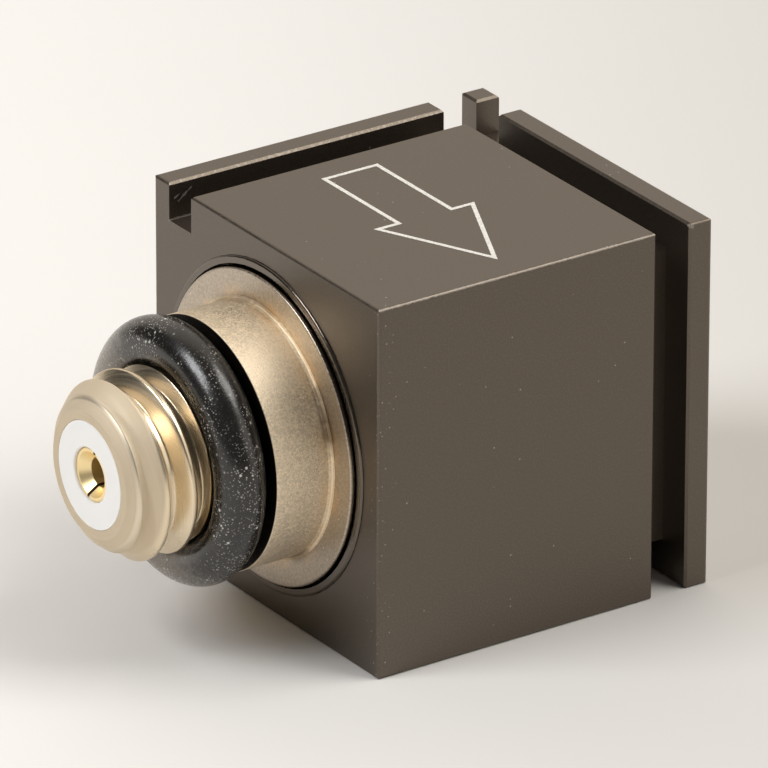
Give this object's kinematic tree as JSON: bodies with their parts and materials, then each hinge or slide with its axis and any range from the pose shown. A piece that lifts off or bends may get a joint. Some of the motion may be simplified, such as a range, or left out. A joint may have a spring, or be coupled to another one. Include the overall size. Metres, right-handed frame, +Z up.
{
  "type": "vibration sensor",
  "caption": "Small cube-shaped piezoelectric vibration sensor with clip slots behind its flanged sides and a threaded coaxial connector with a sealing ring.",
  "frame": {"origin": "middle of the housing's underside", "axes": "+Z up, the connector points along -X, the arrow of the measuring direction points along -Y, and the flanges for the mounting clip are on the +X and +Y sides"},
  "size_m": [0.0152, 0.01, 0.01],
  "materials": {
    "anodised_aluminium": "hard-anodised, fine matt grey-brown",
    "blasted_steel": "bead-blasted, warm grey",
    "black_rubber": "black, slightly glossy, dusty",
    "white_plastic": "white, dull",
    "seal_glass": "dark green sealing glass",
    "gold_plate": "gold-plated",
    "turned_steel": "turned",
    "piezo_ceramic": "dull cream ceramic",
    "heavy_alloy": "ground"
  },
  "bodies": {
    "root": {"housing": "anodised_aluminium", "end_cap": "blasted_steel", "connector_shell": "blasted_steel", "o_ring": "black_rubber", "insulator": "white_plastic", "glass_seal": "seal_glass", "centre_contact": "gold_plate", "element_base": "turned_steel", "piezo_plate_upper": "piezo_ceramic", "piezo_plate_lower": "piezo_ceramic", "seismic_mass_upper": "heavy_alloy", "seismic_mass_lower": "heavy_alloy", "clamp_ring": "turned_steel", "signal_lead": "gold_plate"}
  },
  "joints": []
}
